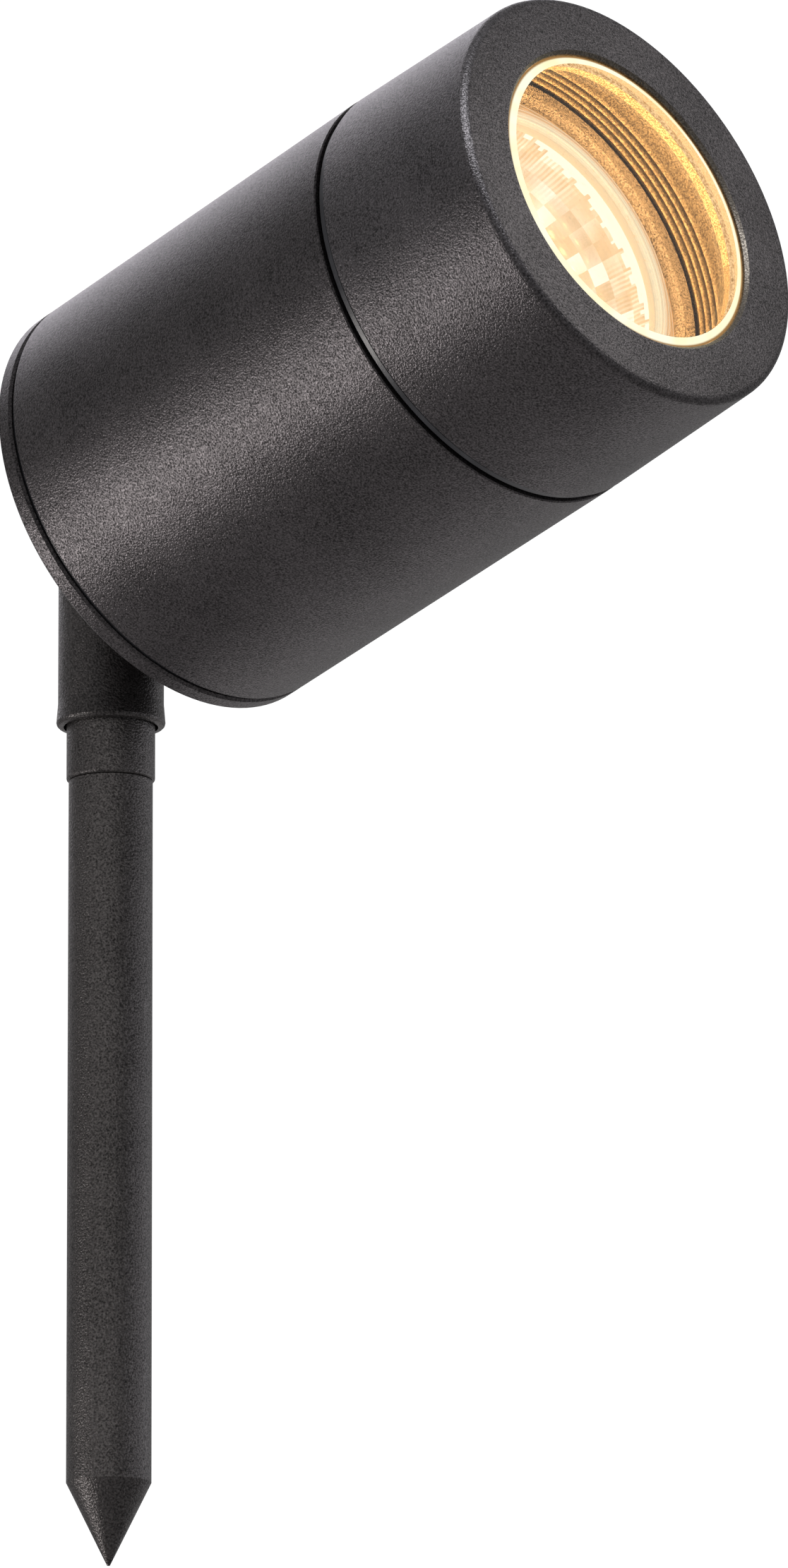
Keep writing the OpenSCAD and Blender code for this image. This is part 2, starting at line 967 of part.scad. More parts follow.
module knuckle_collar() {
    bore_r = neck_r + neck_fit;
    fork_z = pivot_z - fork_depth;
    color("#2b2a2b")
        difference() {
            collar_blank();
            translate([0, 0, collar_z - eps])
                cylinder(r = bore_r, h = web_z - collar_z);
            translate([0, 0, collar_z - eps])
                cylinder(r = bore_r + mouth[0], h = mouth[1]);
            cylinder(r = swivel_r + neck_fit, h = big, $fn = 64);
            translate([0, 0, web_z + web_t])
                cylinder(r = swivel_well_r, h = fork_z - web_z - web_t + eps, $fn = 64);
            translate([-fork_gap / 2, -collar_d, fork_z])
                cube([fork_gap, collar_d + back_web_y, big]);
            translate([-fork_gap / 2, 0, pivot_z + back_web_top])
                cube([fork_gap, collar_d, big]);
            translate([-collar_d, 0, pivot_z])
                along_x()
                    cylinder(r = pivot_r + fit, h = 2 * collar_d, $fn = 64);
            for (side = [0, 1])
                mirror([side, 0, 0])
                    translate([face_x, 0, pivot_z])
                        along_x()
                            cylinder(r = washer_r + washer_seat, h = collar_d, $fn = 64);
        }
}

module pivot_bolt() {
    color("#8d8f92")
        translate([-face_x - washer_t, 0, pivot_z])
            rotate([0, -90, 0])
                cap_screw(pivot_r, 2 * (face_x + washer_t) + pivot_tail, washer_r, pivot_head_h);
}

module pivot_nut() {
    color("#8d8f92")
        translate([face_x + washer_t, 0, pivot_z])
            along_x()
                difference() {
                    hex_prism(pivot_nut_af, pivot_nut_h);
                    translate([0, 0, -eps])
                        cylinder(r = pivot_r + thread_fit, h = 2 * pivot_nut_h, $fn = 64);
                }
}

module pivot_washers() {
    color("#9c9ea1")
        for (side = [0, 1])
            mirror([side, 0, 0])
                translate([face_x, 0, pivot_z])
                    along_x()
                        ring(washer_r, pivot_r + washer_fit, washer_t);
}

// Bolt that holds the collar down on the neck and lets it turn
module swivel_bolt() {
    color("#8d8f92")
        translate([0, 0, web_z + web_t + swivel_washer_t + 2 * fit])
            cap_screw(swivel_r, swivel_len, swivel_head_r, swivel_head_h);
}

module swivel_washer() {
    color("#9c9ea1")
        translate([0, 0, web_z + web_t + fit])
            ring(swivel_washer_r, swivel_r + washer_fit, swivel_washer_t);
}

// ---------- stake ----------

module stake_neck() {
    top = web_z - neck_gap;
    color("#2b2a2b")
        difference() {
            union() {
                rotate_extrude($fn = 128)
                    polygon(concat(
                        [[0, 0]],
                        rounded(neck_r, 0, neck_round),
                        [[neck_r, top - neck_chamfer], [neck_r - neck_chamfer, top], [0, top]]
                    ));
                translate([0, 0, -stud_len])
                    cylinder(r = stud_r, h = stud_len + eps, $fn = 64);
            }
            translate([0, 0, top - neck_tap])
                cylinder(r = swivel_r + thread_fit, h = big, $fn = 64);
        }
}

module stake_shank() {
    color("#2b2a2b")
        difference() {
            rotate_extrude($fn = 128)
                polygon([
                    [0, 0],
                    [shank_r - shank_edge, 0],
                    [shank_r, -shank_edge],
                    [shank_r, -shank_len],
                    [tip_r, -shank_len - point_len + tip_r],
                    [tip_r / 2, -shank_len - point_len],
                    [0, -shank_len - point_len]
                ]);
            translate([0, 0, -stud_len - stud_hole_end])
                cylinder(r = stud_r + thread_fit, h = big, $fn = 64);
        }
}

body_housing();
front_bezel();
front_glass();
glass_seal();
bezel_gasket();
rear_cap();
rear_cap_gasket();
rear_cap_screws();
lamp_support_ring();
lamp_reflector();
lamp_cover_glass();
lamp_base();
lamp_pins();
lamp_capsule();
lamp_filament();
lamp_holder();
holder_bracket();
holder_screws();
bracket_screws();
lamp_leads();
terminal_block();
terminal_clamps();
terminal_screws();
block_screws();
earth_screw();
earth_tag();
gland_body();
gland_nut();
gland_seal();
gland_locknut();
knuckle_collar();
pivot_bolt();
pivot_nut();
pivot_washers();
swivel_bolt();
swivel_washer();
stake_neck();
stake_shank();
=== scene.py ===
import json
import math
import random

import bmesh
import bpy
from mathutils import Matrix, Vector


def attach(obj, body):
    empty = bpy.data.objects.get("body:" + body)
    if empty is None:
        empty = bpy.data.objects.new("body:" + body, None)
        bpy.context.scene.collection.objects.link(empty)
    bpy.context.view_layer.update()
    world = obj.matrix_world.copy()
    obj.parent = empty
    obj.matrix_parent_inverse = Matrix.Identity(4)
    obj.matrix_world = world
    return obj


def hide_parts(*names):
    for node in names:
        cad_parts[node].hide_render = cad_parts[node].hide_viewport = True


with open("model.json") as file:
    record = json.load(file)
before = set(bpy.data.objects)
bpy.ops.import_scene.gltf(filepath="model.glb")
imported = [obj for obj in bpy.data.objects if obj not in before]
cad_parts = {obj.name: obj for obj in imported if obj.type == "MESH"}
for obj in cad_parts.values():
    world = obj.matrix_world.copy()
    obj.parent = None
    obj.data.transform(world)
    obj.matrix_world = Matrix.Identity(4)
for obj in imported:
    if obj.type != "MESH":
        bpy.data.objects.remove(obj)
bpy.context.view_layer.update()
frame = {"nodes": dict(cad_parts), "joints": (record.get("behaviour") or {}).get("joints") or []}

CAD = frame["nodes"]
JOINTS = {joint["name"]: joint for joint in frame["joints"]}
MM = 0.001

# The head's own frame: z runs from the pivot out of the light opening, x is the pivot's axis
FORWARD = Vector(JOINTS["bezel_off"]["axis"]).normalized()
SIDE = Vector((1, 0, 0))
RISE = FORWARD.cross(SIDE)
PIVOT = Vector(JOINTS["head_tilt"]["pos_m"])
HEAD = Matrix.Translation(PIVOT) @ Matrix((SIDE, RISE, FORWARD)).transposed().to_4x4()

WARM = (1.0, 0.53, 0.17)
HOT_SIDE = 30            # degrees round the head's axis to the side of the bowl that glows most
LIP = 6.7 * MM           # from the bezel's face to the rear of its lip


def head_span(node):
    """Lowest and highest distance of a node's corners from the pivot, along the head's axis."""
    heights = [(v.co - PIVOT).dot(FORWARD) for v in CAD[node].data.vertices]
    return min(heights), max(heights)


def head_radius(node):
    """Greatest distance of a node's corners from the head's axis."""
    return max((v.co - PIVOT).cross(FORWARD).length for v in CAD[node].data.vertices)


def rear_bore(node):
    """Radius of the hole at a node's rear end."""
    rear = head_span(node)[0]
    corners = [v.co - PIVOT for v in CAD[node].data.vertices]
    return min(c.cross(FORWARD).length for c in corners if c.dot(FORWARD) < rear + 1 * MM)


# ---------- node helpers ----------

class Surface:
    """A Principled material with short helpers for the nodes in front of it."""

    def __init__(self, name, **uniform):
        self.material = bpy.data.materials.new(name)
        self.material.use_nodes = True
        self.tree = self.material.node_tree
        self.shader = self.tree.nodes["Principled BSDF"]
        self.place = self.add("ShaderNodeTexCoord").outputs["Object"]
        for key, value in uniform.items():
            self.shader.inputs[key.replace("_", " ").title().replace("Ior", "IOR")].default_value = value

    def add(self, kind, **settings):
        node = self.tree.nodes.new(kind)
        for key, value in settings.items():
            setattr(node, key, value)
        return node

    def link(self, source, target):
        self.tree.links.new(source, target)

    def noise(self, size, detail=2.0, stretch=None):
        """Noise whose features are about `size` metres; stretch scales the axes unevenly."""
        node = self.add("ShaderNodeTexNoise")
        node.inputs["Scale"].default_value = 1 / size
        node.inputs["Detail"].default_value = detail
        self.link(self.stretched(stretch), node.inputs["Vector"])
        return node.outputs["Fac"]

    def cells(self, size):
        """Distance from the middle of Voronoi cells of about `size` metres."""
        node = self.add("ShaderNodeTexVoronoi")
        node.inputs["Scale"].default_value = 1 / size
        self.link(self.place, node.inputs["Vector"])
        return node.outputs["Distance"]

    def head_place(self):
        """Place in the head's own frame, as x, y and z outputs in metres."""
        turn = HEAD.inverted()
        node = self.add("ShaderNodeMapping")
        node.inputs["Location"].default_value = turn.translation
        node.inputs["Rotation"].default_value = turn.to_euler()
        self.link(self.place, node.inputs["Vector"])
        parts = self.add("ShaderNodeSeparateXYZ")
        self.link(node.outputs["Vector"], parts.inputs["Vector"])
        return parts.outputs

    def radius(self):
        """Distance from the head's axis, in metres."""
        parts = self.head_place()
        squares = [self.math("MULTIPLY", parts[axis], parts[axis]) for axis in "XY"]
        return self.math("SQRT", self.math("ADD", *squares), 0)

    def rings(self, size):
        """Concentric lines about `size` metres apart round the head's axis."""
        lines = self.add("ShaderNodeTexNoise", noise_dimensions="1D")
        lines.inputs["Scale"].default_value = 1 / size
        self.link(self.radius(), lines.inputs["W"])
        return lines.outputs["Fac"]

    def stretched(self, stretch):
        """Place with its axes scaled, or as it is when stretch is None."""
        if stretch is None:
            return self.place
        node = self.add("ShaderNodeMapping")
        node.inputs["Scale"].default_value = stretch
        self.link(self.place, node.inputs["Vector"])
        return node.outputs["Vector"]

    def fit(self, value, low, high, to_low=0.0, to_high=1.0):
        """A value between low and high becomes one between to_low and to_high."""
        node = self.add("ShaderNodeMapRange")
        ends = {"From Min": low, "From Max": high, "To Min": to_low, "To Max": to_high}
        for socket, number in ends.items():
            node.inputs[socket].default_value = number
        self.link(value, node.inputs["Value"])
        return node.outputs["Result"]

    def math(self, operation, first, second):
        """Math node on two sockets or numbers."""
        node = self.add("ShaderNodeMath", operation=operation)
        for socket, value in zip(node.inputs, (first, second)):
            if isinstance(value, (int, float)):
                socket.default_value = value
            else:
                self.link(value, socket)
        return node.outputs["Value"]

    def blend(self, factor, first, second):
        """Colour from first to second as factor goes from 0 to 1."""
        node = self.add("ShaderNodeMix", data_type="RGBA")
        self.link(factor, node.inputs["Factor"])
        for socket, value in zip((node.inputs[6], node.inputs[7]), (first, second)):
            if isinstance(value, tuple):
                socket.default_value = (*value, 1)
            else:
                self.link(value, socket)
        return node.outputs[2]

    def colour(self, value):
        self.link(value, self.shader.inputs["Base Color"])

    def roughness(self, value):
        self.link(value, self.shader.inputs["Roughness"])

    def glow(self, value, strength):
        """Light given off: its colour is a socket, its strength a number or a socket."""
        self.link(value, self.shader.inputs["Emission Color"])
        if isinstance(strength, (int, float)):
            self.shader.inputs["Emission Strength"].default_value = strength
        else:
            self.link(strength, self.shader.inputs["Emission Strength"])

    def bump(self, height, depth):
        """Relief of `depth` metres where the height socket goes from 0 to 1."""
        node = self.add("ShaderNodeBump")
        node.inputs["Distance"].default_value = depth
        self.link(height, node.inputs["Height"])
        self.link(node.outputs["Normal"], self.shader.inputs["Normal"])


# ---------- materials ----------

def powder_coat(name, grain, dark, light, depth, contrast):
    """Powder coat with a metallic pigment: bright lumps of about `grain` metres between dark pores."""
    s = Surface(name, Metallic=0.75)
    lumps = s.noise(grain, 1.5)
    s.bump(lumps, depth)
    patches = s.fit(s.noise(12 * MM, 3), 0.3, 0.7, -0.04, 0.04)
    middle = 0.51
    spread = 0.15 / contrast
    shades = s.fit(s.math("ADD", lumps, patches), middle - spread, middle + spread)
    s.colour(s.blend(shades, dark, light))
    s.roughness(s.fit(lumps, 0.3, 0.7, 0.44, 0.3))
    return s.material


def head_coat():
    """The cast head's coat: charcoal with a trace of violet."""
    dark = (0.01, 0.0093, 0.0097)
    light = (0.112, 0.104, 0.109)
    return powder_coat("head_coat", 0.29 * MM, dark, light, 0.095 * MM, 0.66)


def stake_coat():
    """The stake's coat: a slightly warmer and coarser charcoal."""
    dark = (0.01, 0.0094, 0.0094)
    light = (0.1, 0.094, 0.094)
    return powder_coat("stake_coat", 0.31 * MM, dark, light, 0.12 * MM, 0.6)


def bore_coat_painted_shade():
    """The bezel's coat inside, with painted shade behind the lip, in the thread's grooves and near the
    face.
    """
    s = Surface("bore_coat_painted_shade", Metallic=0.75)
    lumps = s.noise(0.3 * MM, 1.5)
    s.bump(lumps, 0.05 * MM)

    # Painted light and shade: a part for the groove's depth, with painted shade in the grooves, times one
    # for the place along the bore, with a painted shadow behind the lip before the thread and painted shade
    # near the face
    crest = rear_bore("front_bezel")
    front = head_span("front_bezel")[1]
    along = s.head_place()["Z"]
    deepest_shade = 0.34
    # Painted shade: darker down in the thread's grooves, in a band between the lip and the thread, and near
    # the face
    groove_shade = s.fit(s.radius(), crest, crest + 0.4 * MM, 1.0, 0.22)
    shade_before_thread = s.fit(along, front - 14.6 * MM, front - 13.6 * MM, 1.0, deepest_shade)
    shadow_behind_lip = s.fit(along, front - 14 * MM, front - 8 * MM, deepest_shade, 0.95)
    in_lip = s.math("GREATER_THAN", along, front - LIP)
    lip_front_shade = s.fit(along, front - 4 * MM, front - 3 * MM, 0.66, 0.3)
    painted_light_share = s.math("MAXIMUM", shadow_behind_lip, shade_before_thread)
    painted_light_share = s.math("MAXIMUM", painted_light_share, s.math("MULTIPLY", in_lip, lip_front_shade))
    painted_light_and_shade = s.math("MULTIPLY", groove_shade, painted_light_share)
    # The coat's grain, in a lighter and warmer tone than the outer coat: painted lamp light
    grain_with_painted_light = s.blend(s.fit(lumps, 0.36, 0.66), (0.05, 0.043, 0.036), (0.145, 0.128, 0.108))
    # Painted shade: the colour falls to black where the painted light is low
    s.colour(s.blend(painted_light_and_shade, (0.0, 0.0, 0.0), grain_with_painted_light))
    s.roughness(s.fit(lumps, 0.3, 0.7, 0.44, 0.3))
    return s.material


def rubber(name, dark, light):
    """Black rubber with a faint bloom."""
    s = Surface(name, Specular_IOR_Level=0.5)
    bloom = s.noise(3 * MM, 4)
    s.colour(s.blend(s.fit(bloom, 0.35, 0.7), dark, light))
    s.roughness(s.fit(bloom, 0.3, 0.7, 0.28, 0.42))
    s.bump(s.noise(0.3 * MM), 0.01 * MM)
    return s.material


def clear_glass(name, tint, painted_glow_strength=0.0, index=1.5):
    """Clear glass with a trace of dust and faint smears, and a painted warm glow where a strength is given.
    """
    s = Surface(name, Transmission_Weight=1.0, IOR=index)
    dust = s.fit(s.noise(0.6 * MM, 5), 0.62, 0.8)
    s.colour(s.blend(dust, tint, (0.8, 0.79, 0.77)))
    smear = s.fit(s.noise(9 * MM, 3, (1.0, 0.4, 1.0)), 0.4, 0.75, 0.0, 0.025)
    s.roughness(smear)
    # Painted glow: warm light given off by the glass, for the lamp's light in it
    if painted_glow_strength:
        s.shader.inputs["Emission Color"].default_value = (1.0, 0.86, 0.6, 1)
        s.shader.inputs["Emission Strength"].default_value = painted_glow_strength
    return s.material


def lit_bevel():
    """Ground bevel of the front glass, with a painted glow for the lamp's light that it carries to its rim.
    """
    s = Surface("lit_bevel", Specular_IOR_Level=0.3)
    s.colour(s.blend(s.noise(0.4 * MM), (0.2, 0.18, 0.12), (0.3, 0.28, 0.2)))
    s.roughness(s.fit(s.noise(0.25 * MM), 0.3, 0.7, 0.3, 0.5))
    # Painted glow: cream for the lamp's light in the bevel, deep orange at the very rim
    painted_cream_glow = s.blend(s.fit(s.noise(6 * MM), 0.35, 0.65), (1.0, 0.9, 0.56), (1.0, 0.96, 0.76))
    edge = head_radius("front_glass")
    rim = s.fit(s.radius(), edge - 0.5 * MM, edge - 0.25 * MM)
    s.glow(s.blend(rim, painted_cream_glow, (0.3, 0.14, 0.03)), 1.0)
    return s.material


def ground_edge():
    """Frosted edge of the front glass, with a painted gold tone and glow for the lamp's light and the coat
    behind it.
    """
    s = Surface("ground_edge", Specular_IOR_Level=0.3)
    frost = s.fit(s.noise(0.3 * MM, 2), 0.3, 0.7)
    # Painted light: the edge's gold tone and glow stand in for the lamp's light and the coat behind it
    s.colour(s.blend(frost, (0.3, 0.2, 0.1), (0.5, 0.38, 0.2)))
    s.roughness(s.fit(frost, 0, 1, 0.5, 0.8))
    s.glow(s.blend(frost, (0.82, 0.44, 0.16), (1.0, 0.68, 0.34)), 1.05)
    return s.material


def lit_silicone():
    """Clear silicone seal under the front glass, with a painted gold tone and glow for the light in the
    glass.
    """
    s = Surface("lit_silicone", Specular_IOR_Level=0.3)
    cloud = s.fit(s.noise(0.4 * MM, 2), 0.36, 0.64)
    # Painted light: the seal's gold tone and glow stand in for the light in the glass
    s.colour(s.blend(cloud, (0.1, 0.07, 0.03), (0.2, 0.15, 0.09)))
    s.roughness(s.fit(cloud, 0, 1, 0.4, 0.6))
    s.glow(s.blend(cloud, (0.52, 0.27, 0.1), (0.98, 0.66, 0.34)), 0.95)
    return s.material


def lit_ring():
    """Spun metal ring beside the lamp, with painted light: a cream glow and paler tone on the inside from
    the lamp, gold towards the bezel.
    """
    s = Surface("lit_ring", Metallic=1.0)
    cover = head_radius("lamp_cover_glass")
    # Painted light: the ring's tone and glow are paler and creamier towards the lamp
    painted_lamp_light = s.fit(s.radius(), cover, cover + 2 * MM, 0.8, 0.05)
    lines = s.math("ADD", s.fit(s.rings(0.4 * MM), 0.4, 0.62, -0.15, 0.35), painted_lamp_light)
    s.colour(s.blend(lines, (0.2, 0.11, 0.04), (0.45, 0.33, 0.18)))
    s.roughness(s.fit(lines, 0, 1, 0.36, 0.22))
    s.glow(s.blend(lines, (0.6, 0.3, 0.09), (1.0, 0.87, 0.62)), 0.9)
    return s.material


def turned_metal(name, dark, light, rough):
    """Turned or plated metal, with fine lines along the pivot's axis."""
    s = Surface(name, Metallic=1.0)
    grain = s.noise(0.12 * MM, 2, (0.12, 1.0, 1.0))
    cloud = s.noise(2.5 * MM, 4)
    s.colour(s.blend(s.fit(cloud, 0.3, 0.7), dark, light))
    s.roughness(s.fit(grain, 0.3, 0.7, rough * 0.8, rough * 1.3))
    s.bump(grain, 0.004 * MM)
    return s.material


def coated_mirror():
    """Mirror coat of the reflector, with a painted warm tint from the lamp; each facet's painted glow,
    which stands in for the lamp's light it reflects, is stored on the mesh.
    """
    s = Surface("coated_mirror", Metallic=0.8)
    facet = s.add("ShaderNodeAttribute", attribute_name="facet_glow").outputs["Fac"]
    cloud = s.noise(1.2 * MM, 3)
    # Painted warm tint for the lamp's light on the mirror coat
    s.colour(s.blend(cloud, (0.42, 0.3, 0.17), (0.52, 0.4, 0.25)))
    s.roughness(s.fit(s.noise(0.5 * MM), 0.3, 0.7, 0.12, 0.24))
    # Painted reflections: each facet glows warm to pale by its stored level
    warm_white = s.blend(s.fit(facet, 0.0, 1.0), (1.0, 0.73, 0.46), (1.0, 0.97, 0.92))
    s.glow(warm_white, s.fit(facet, 0.0, 1.0, 0.5, 0.95))
    return s.material


def ceramic(name, dark, light):
    """Dull glazed ceramic with fine pores."""
    s = Surface(name, Coat_Weight=0.15)
    pores = s.fit(s.cells(0.5 * MM), 0.0, 0.35)
    s.colour(s.blend(s.math("MULTIPLY", pores, s.noise(4 * MM, 4)), dark, light))
    s.roughness(s.fit(s.noise(1 * MM), 0.3, 0.7, 0.45, 0.65))
    s.bump(pores, 0.02 * MM)
    return s.material


def plastic(name, dark, light, rough):
    """Moulded plastic with a fine spark-eroded texture."""
    s = Surface(name, Specular_IOR_Level=0.45)
    s.colour(s.blend(s.fit(s.noise(5 * MM, 4), 0.3, 0.7), dark, light))
    texture = s.noise(0.22 * MM, 2)
    s.roughness(s.fit(texture, 0.3, 0.7, rough, rough * 1.35))
    s.bump(texture, 0.012 * MM)
    return s.material


def hot_tungsten():
    """Glowing filament, with its turns as darker and lighter bands."""
    s = Surface("hot_tungsten", Metallic=1.0)
    turns = s.add("ShaderNodeTexWave", bands_direction="X")
    turns.inputs["Scale"].default_value = 1 / (1.2 * MM)
    s.link(s.place, turns.inputs["Vector"])
    heat = s.blend(turns.outputs["Fac"], (1.0, 0.62, 0.25), (1.0, 0.86, 0.55))
    s.glow(heat, 5.0)
    s.colour(heat)
    return s.material


def braided_sleeve():
    """Glass-fibre sleeving: two sets of strands that cross."""
    s = Surface("braided_sleeve", Sheen_Weight=0.3)
    strands = []
    for slant in (1, -1):
        wave = s.add("ShaderNodeTexWave", bands_direction="DIAGONAL")
        wave.inputs["Scale"].default_value = 1 / (2.2 * MM)
        s.link(s.stretched((slant, 1, 1)), wave.inputs["Vector"])
        strands.append(wave.outputs["Fac"])
    weave = s.math("MAXIMUM", *strands)
    s.colour(s.blend(weave, (0.52, 0.48, 0.38), (0.86, 0.83, 0.74)))
    s.roughness(s.fit(weave, 0, 1, 0.8, 0.6))
    s.bump(weave, 0.08 * MM)
    return s.material


def paint(material, *nodes):
    """Gives CAD nodes one material."""
    for node in nodes:
        CAD[node].data.materials.clear()
        CAD[node].data.materials.append(material)


def finish_cad_nodes():
    paint(head_coat(), "body_housing", "front_bezel", "rear_cap")
    paint(stake_coat(), "knuckle_collar", "stake_neck", "stake_shank")
    paint(rubber("black_rubber", (0.012, 0.013, 0.017), (0.03, 0.032, 0.038)),
          "bezel_gasket", "rear_cap_gasket")
    paint(rubber("cable_seal", (0.01, 0.01, 0.01), (0.022, 0.022, 0.022)), "gland_seal")
    paint(lit_silicone(), "glass_seal")
    paint(turned_metal("blackened_steel", (0.02, 0.02, 0.021), (0.055, 0.054, 0.056), 0.4),
          "rear_cap_screws")
    paint(turned_metal("stainless", (0.42, 0.42, 0.43), (0.62, 0.62, 0.61), 0.32),
          "pivot_bolt", "pivot_nut", "pivot_washers", "swivel_bolt", "swivel_washer")
    paint(turned_metal("zinc_plate", (0.5, 0.51, 0.53), (0.7, 0.71, 0.7), 0.38),
          "holder_bracket", "holder_screws", "bracket_screws", "block_screws", "earth_screw")
    paint(turned_metal("brass", (0.6, 0.42, 0.16), (0.82, 0.64, 0.3), 0.3),
          "terminal_clamps", "terminal_screws")
    paint(turned_metal("tinned_brass", (0.62, 0.6, 0.5), (0.8, 0.78, 0.7), 0.35), "earth_tag")
    paint(turned_metal("nickel", (0.56, 0.54, 0.5), (0.76, 0.74, 0.7), 0.2), "lamp_pins")
    paint(lit_ring(), "lamp_support_ring")
    paint(clear_glass("lamp_glass", (1.0, 0.97, 0.92), 0.05), "lamp_cover_glass")
    paint(clear_glass("quartz", (0.98, 0.98, 0.96), 0.8), "lamp_capsule")
    paint(hot_tungsten(), "lamp_filament")
    paint(ceramic("lamp_ceramic", (0.66, 0.63, 0.56), (0.86, 0.84, 0.78)), "lamp_base")
    paint(ceramic("steatite", (0.7, 0.68, 0.62), (0.9, 0.88, 0.83)), "lamp_holder")
    paint(plastic("pale_polyamide", (0.66, 0.63, 0.55), (0.8, 0.78, 0.71), 0.4), "terminal_block")
    paint(plastic("black_nylon", (0.012, 0.012, 0.013), (0.03, 0.03, 0.031), 0.42),
          "gland_body", "gland_nut", "gland_locknut")
    paint(braided_sleeve(), "lamp_leads")


def finish_bezel_bore():
    """The bezel's faces that look at the head's axis take the bore's coat, with its painted shade."""
    bezel = CAD["front_bezel"]
    bezel.data.materials.append(bore_coat_painted_shade())
    for face in bezel.data.polygons:
        spot = face.center - PIVOT
        outward = spot - FORWARD * spot.dot(FORWARD)
        if face.normal.dot(outward.normalized()) < -0.05:
            face.material_index = 1


def finish_front_glass():
    """Clear glass; its bevel leans outwards at the front, and its ground edge stands round the side."""
    glass = CAD["front_glass"]
    paint(clear_glass("front_glass_clear", (0.98, 1.0, 0.99), index=1.36), "front_glass")
    glass.data.materials.append(lit_bevel())
    glass.data.materials.append(ground_edge())
    for face in glass.data.polygons:
        lean = face.normal.dot(FORWARD)
        if 0.1 < lean < 0.99:
            face.material_index = 1
        elif abs(lean) <= 0.1:
            face.material_index = 2


# ---------- pieces made here ----------

def mesh_piece(name, vertices, faces, body):
    """New object from head-frame points, in place and riding on a body."""
    mesh = bpy.data.meshes.new(name)
    mesh.from_pydata([HEAD @ Vector(v) for v in vertices], [], faces)
    mesh.update()
    piece = bpy.data.objects.new(name, mesh)
    bpy.context.scene.collection.objects.link(piece)
    build = bmesh.new()
    build.from_mesh(mesh)
    bmesh.ops.recalc_face_normals(build, faces=build.faces)
    build.to_mesh(mesh)
    build.free()
    for face in mesh.polygons:
        face.use_smooth = True
    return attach(piece, body)


class Bowl:
    """Sizes of the lamp's bowl, and the grid of mirror facets on its inner face."""

    columns, rows = 42, 12       # facets round the bowl, and from its neck to its rim
    ribs, split = 8, 4           # corners across one facet, and down it
    pillow = 0.2 * MM
    rib = 0.02 * MM
    wall = 1.5 * MM
    rim_height = 3 * MM
    neck = 9.5 * MM
    capsule_hole = 3.95 * MM
    under_rim = 0.8 * MM         # how much narrower than the rim the bowl's top is
    taper = 0.4 * MM             # how much thicker the wall is at the top than at the neck
    between_skins = 0.8 * MM     # from the outer skin to a surface that lies between it and the facets

    def __init__(self):
        self.low, self.high = head_span("lamp_reflector")
        self.rim = head_radius("lamp_reflector")
        self.top = self.high - self.rim_height
        self.inner_low = self.low + self.wall
        self.around = self.columns * self.ribs
        self.steps = self.rows * self.split

    def outer(self, t):
        """Outer radius at a height from 0 at the neck to 1 at the rim."""
        return self.neck + (self.rim - self.under_rim - self.neck) * t ** 0.55

    def outside(self):
        """Radius and height of each ring from the capsule's hole, up the outside, to the glass's seat."""
        high = self.high
        edge = 0.3 * MM
        ledge = 0.4 * MM
        cover = head_radius("lamp_cover_glass")
        seat = head_span("lamp_cover_glass")[0]
        slack = 0.05 * MM
        overlap = 1.2 * MM
        curve = 16
        rings = [(self.capsule_hole, self.low), (self.neck * 0.98, self.low)]
        for i in range(1, curve + 1):
            rings.append((self.outer(i / curve), self.low + (self.top - self.low) * i / curve))
        rings += [(self.rim, self.top + ledge), (self.rim, high - edge), (self.rim - edge, high)]
        rings += [(cover + slack, high), (cover + slack, seat), (cover - overlap, seat)]
        return rings

    def plain_ring(self, radius, height):
        """Corners of a round ring."""
        turns = [2 * math.pi * j / self.around for j in range(self.around)]
        return [(radius * math.cos(a), radius * math.sin(a), height) for a in turns]

    def facet_ring(self, i):
        """Corners of the ring at a step of the inner face, from 0 at the neck: pillows and fine ribs."""
        t = i / self.steps
        height = self.inner_low + (self.top - self.inner_low) * t
        base = self.outer(max(t, 0.004)) - self.wall - self.taper * t
        down = 2 * (i % self.split) / self.split - 1
        ring = []
        for j in range(self.around):
            a = 2 * math.pi * j / self.around
            across = 2 * (j % self.ribs) / self.ribs - 1
            bulge = self.pillow * (1 - across * across) * (1 - down * down)
            radius = base - bulge - self.rib * (j % 2)
            ring.append((radius * math.cos(a), radius * math.sin(a), height))
        return ring

    def on_inner_face(self, spot):
        """Tells the inner face from the outer one, which is a wall's thickness further out."""
        t = max(0.0, (spot.z - self.low) / (self.top - self.low))
        dividing_radius = self.outer(t) - self.between_skins
        return spot.z <= self.top and math.hypot(spot.x, spot.y) < dividing_radius


def facet_levels(bowl):
    """Painted reflection on each facet: how bright it is, and how much that changes across it and down it;
    some are pale, painted highlights.
    """
    chance = random.Random(7)
    levels = {}
    for row in range(bowl.rows):
        highlight_share = 0.08 if row > bowl.rows - 3 else 0.42
        for column in range(bowl.columns):
            pale_highlight = chance.random() < highlight_share
            level = chance.uniform(0.7, 1.1) if pale_highlight else chance.uniform(0.0, 0.45)
            levels[row, column] = level, chance.uniform(-0.25, 0.25), chance.uniform(-0.2, 0.2)
    return levels


